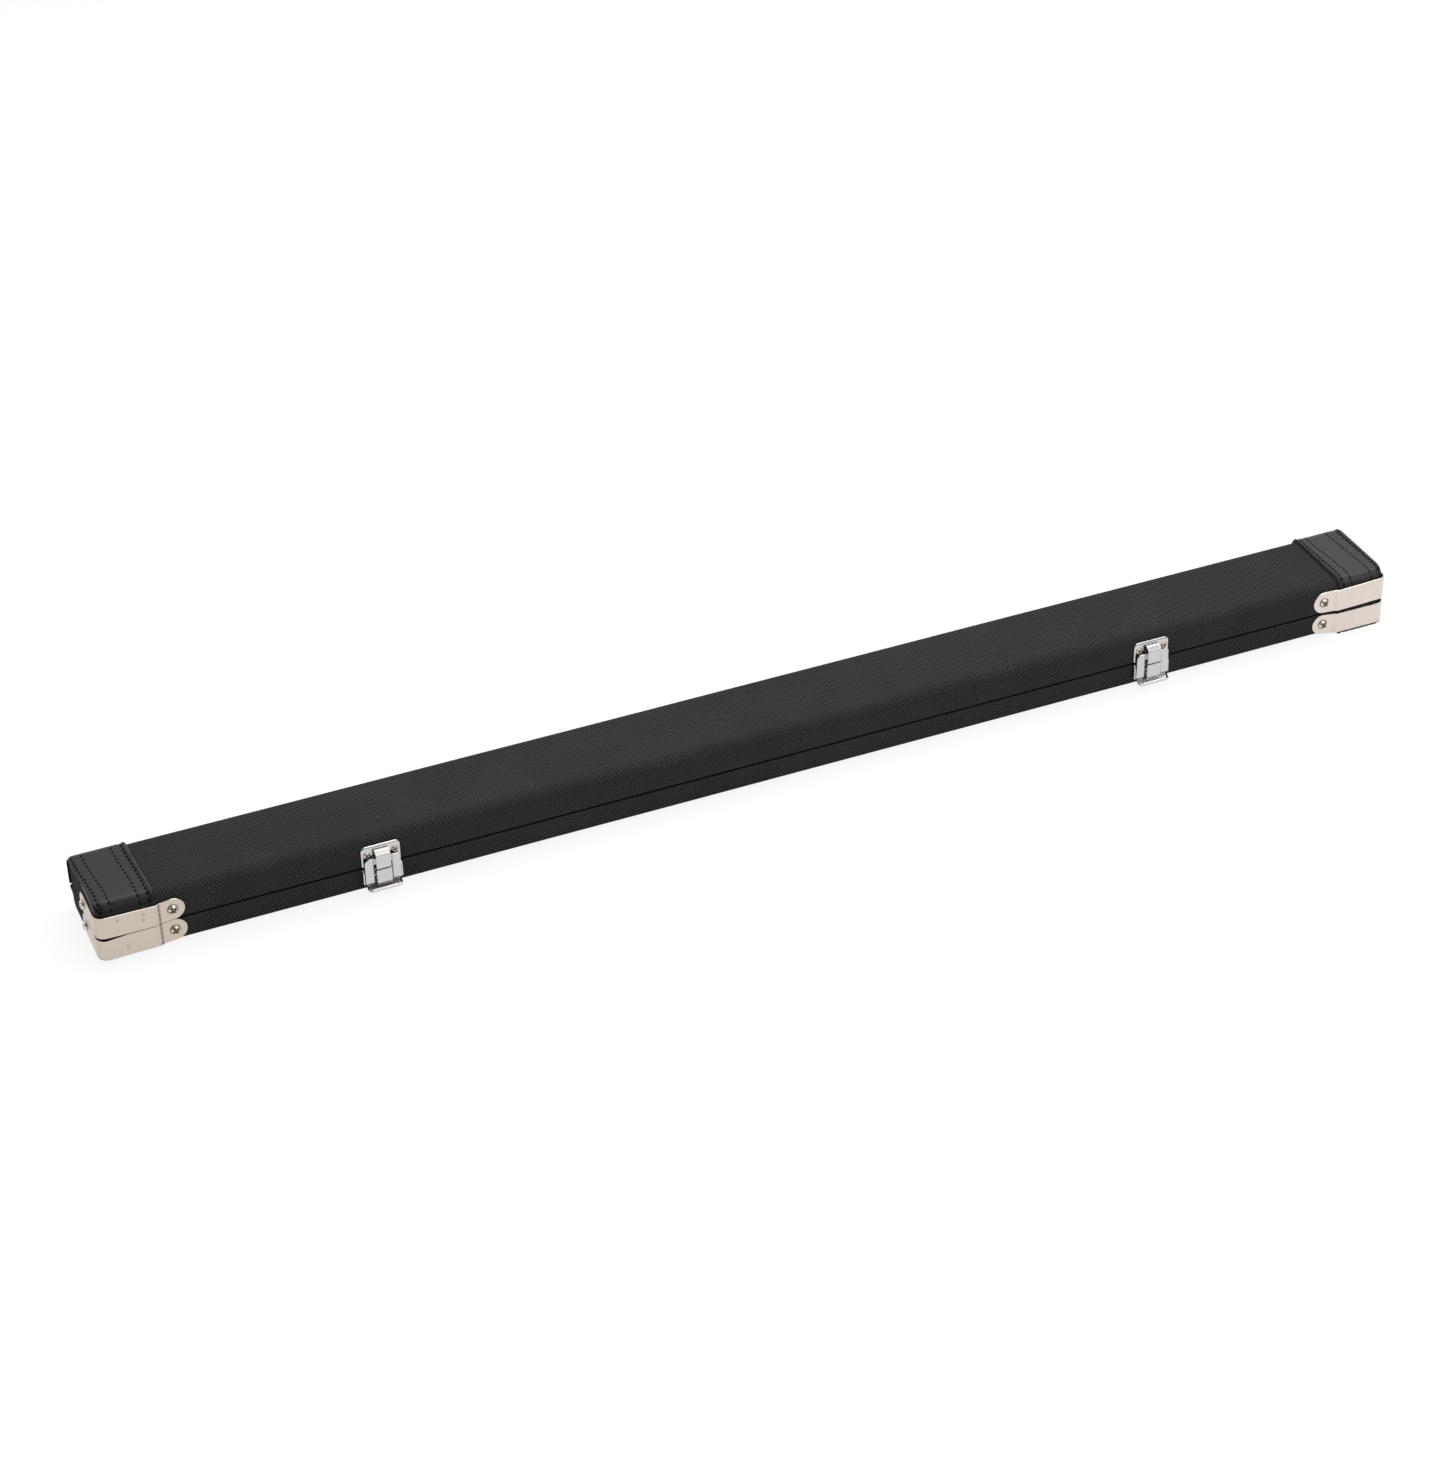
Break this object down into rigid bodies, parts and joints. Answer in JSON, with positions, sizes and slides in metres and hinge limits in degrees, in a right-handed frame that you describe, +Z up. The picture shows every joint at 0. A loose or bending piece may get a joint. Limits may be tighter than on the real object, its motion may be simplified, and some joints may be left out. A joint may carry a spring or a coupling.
{
  "type": "cue case",
  "caption": "Long hard case for a jointed billiard cue: woven cover, leather end bands, metal corner straps, a hinged lid and draw latches.",
  "frame": {"origin": "on the resting plane under the middle of the closed case", "axes": "+X along the case to the right as seen from the latches, +Y from the latches to the hinges, +Z up"},
  "size_m": [1.2376, 0.1044, 0.0561],
  "materials": {
    "woven_fabric": "matte woven nylon",
    "leather": "soft sheen with stitching",
    "board": "raw board",
    "plush": "short pile over foam",
    "nickel": "satin nickel plate",
    "latch_chrome": "bright plate",
    "screw_nickel": "bright nickel plate",
    "screw_brass": "tinted plate",
    "pin_steel": "plain steel"
  },
  "bodies": {
    "base": {"base_floor": "board", "base_wall_front": "board", "base_wall_back": "board", "base_end_left": "board", "base_end_right": "board", "base_cover": "woven_fabric", "base_liner": "plush", "base_band_left": "leather", "base_band_right": "leather", "base_strap_left": "nickel", "base_strap_right": "nickel", "base_strap_screws": "screw_nickel", "latch_base_left": "latch_chrome", "latch_base_right": "latch_chrome", "latch_base_screws": "screw_nickel", "lever_pin_left": "pin_steel", "lever_pin_right": "pin_steel", "hinge_base_left": "nickel", "hinge_base_middle": "nickel", "hinge_base_right": "nickel", "hinge_base_screws": "screw_nickel", "hinge_pin_left": "pin_steel", "hinge_pin_middle": "pin_steel", "hinge_pin_right": "pin_steel"},
    "lid": {"lid_roof": "board", "lid_wall_front": "board", "lid_wall_back": "board", "lid_end_left": "board", "lid_end_right": "board", "lid_cover": "woven_fabric", "lid_pad": "plush", "lid_band_left": "leather", "lid_band_right": "leather", "lid_strap_left": "nickel", "lid_strap_right": "nickel", "lid_strap_screws": "screw_nickel", "keeper_left": "latch_chrome", "keeper_right": "latch_chrome", "keeper_screws": "screw_brass", "hinge_lid_left": "nickel", "hinge_lid_middle": "nickel", "hinge_lid_right": "nickel", "hinge_lid_screws": "screw_nickel"},
    "lever_left": {"lever_left": "latch_chrome", "claw_pin_left": "pin_steel"},
    "lever_right": {"lever_right": "latch_chrome", "claw_pin_right": "pin_steel"},
    "claw_left": {"claw_left": "latch_chrome"},
    "claw_right": {"claw_right": "latch_chrome"}
  },
  "joints": [
    {"name": "lid_hinge", "type": "hinge", "parent": "base", "child": "lid", "pos_m": [0, 0.0486, 0.0255], "axis": [-1, 0, 0], "range_deg": [0, 160]},
    {"name": "lever_left_turn", "type": "hinge", "parent": "base", "child": "lever_left", "pos_m": [-0.368, -0.0464, 0.0242], "axis": [-1, 0, 0], "range_deg": [0, 90]},
    {"name": "claw_left_turn", "type": "hinge", "parent": "lever_left", "child": "claw_left", "pos_m": [-0.368, -0.0464, 0.0187], "axis": [1, 0, 0], "range_deg": [0, 103.5]},
    {"name": "lever_right_turn", "type": "hinge", "parent": "base", "child": "lever_right", "pos_m": [0.37, -0.0464, 0.0242], "axis": [-1, 0, 0], "range_deg": [0, 90]},
    {"name": "claw_right_turn", "type": "hinge", "parent": "lever_right", "child": "claw_right", "pos_m": [0.37, -0.0464, 0.0187], "axis": [1, 0, 0], "range_deg": [0, 103.5]}
  ],
  "couplings": [
    {"joint": "claw_left_turn", "follows": "lever_left_turn", "ratio": 1.15},
    {"joint": "claw_right_turn", "follows": "lever_right_turn", "ratio": 1.15}
  ]
}
